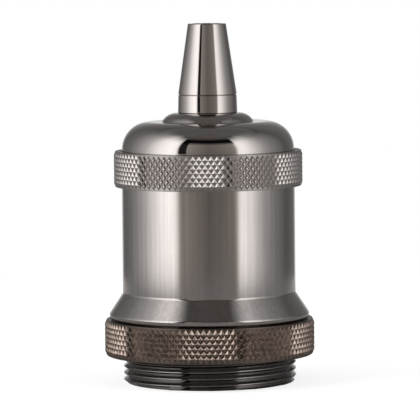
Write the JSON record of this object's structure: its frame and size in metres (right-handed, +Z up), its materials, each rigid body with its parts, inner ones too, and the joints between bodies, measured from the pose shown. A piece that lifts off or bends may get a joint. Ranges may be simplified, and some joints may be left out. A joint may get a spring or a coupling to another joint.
{
  "type": "lamp holder",
  "caption": "Turned metal lamp holder for a screw cap lamp, with domed cap, knurled rings and conical cord grip.",
  "frame": {"origin": "centre of the barrel's threaded rim, on which the holder stands", "axes": "+Z up along the holder's axis from the lamp's opening to the cord grip; +Y towards the earth screw"},
  "size_m": [0.0474, 0.0474, 0.081],
  "materials": {
    "polished_plate": "polished",
    "knurled_plate": "diamond knurled",
    "knurled_plate_brown": "diamond knurled",
    "glazed_white": "glazed",
    "bare_brass": "rolled",
    "zinc_steel": "zinc plated",
    "white_nylon": "moulded"
  },
  "bodies": {
    "barrel": {"barrel": "polished_plate"},
    "shade_ring": {"shade_ring": "knurled_plate_brown"},
    "cap": {"dome_cap": "polished_plate", "threaded_nipple": "zinc_steel", "cord_grip_collar": "polished_plate", "cord_grip_collet": "white_nylon", "lock_nut": "zinc_steel", "tooth_washer": "zinc_steel", "bridge_bracket": "zinc_steel", "bracket_screws": "zinc_steel", "bracket_spring_washers": "zinc_steel", "bracket_nuts": "zinc_steel", "ceramic_body": "glazed_white", "screw_shell": "bare_brass", "shell_rivets": "bare_brass", "contact_leaf": "bare_brass", "live_rivet": "bare_brass", "neutral_rivet": "bare_brass", "live_terminal_block": "bare_brass", "neutral_terminal_block": "bare_brass", "earth_clamp": "zinc_steel"},
    "union_ring": {"union_ring": "knurled_plate"},
    "cord_grip_cone": {"cord_grip_cone": "polished_plate"},
    "contact_button": {"contact_button": "bare_brass"},
    "live_terminal_screw": {"live_terminal_screw": "bare_brass"},
    "neutral_terminal_screw": {"neutral_terminal_screw": "bare_brass"},
    "earth_screw": {"earth_screw": "zinc_steel"}
  },
  "joints": [
    {"name": "shade_ring_travel", "type": "slide", "parent": "barrel", "child": "shade_ring", "axis": [0, 0, -1], "range_m": [0, 0.006]},
    {"name": "union_ring_turn", "type": "hinge", "parent": "cap", "child": "union_ring", "pos_m": [0, 0, 0.0484], "axis": [0, 0, 1], "range_deg": [0, 2160]},
    {"name": "cap_lift", "type": "slide", "parent": "barrel", "child": "cap", "axis": [0, 0, 1], "range_m": [0, 0.006]},
    {"name": "cord_grip_cone_travel", "type": "slide", "parent": "cap", "child": "cord_grip_cone", "axis": [0, 0, 1], "range_m": [0, 0.003]},
    {"name": "contact_press", "type": "slide", "parent": "cap", "child": "contact_button", "axis": [0, 0, 1], "range_m": [0, 0.0016], "stiffness_N_per_m": 400, "deforming": ["contact_leaf"]},
    {"name": "live_screw_travel", "type": "slide", "parent": "cap", "child": "live_terminal_screw", "axis": [0, 0, 1], "range_m": [0, 0.002]},
    {"name": "neutral_screw_travel", "type": "slide", "parent": "cap", "child": "neutral_terminal_screw", "axis": [0, 0, 1], "range_m": [0, 0.002]},
    {"name": "earth_screw_travel", "type": "slide", "parent": "cap", "child": "earth_screw", "axis": [0, 1, 0], "range_m": [0, 0.0015]}
  ],
  "couplings": [
    {"joint": "union_ring_turn", "follows": "cap_lift", "rad_per_m": 6283.2}
  ]
}
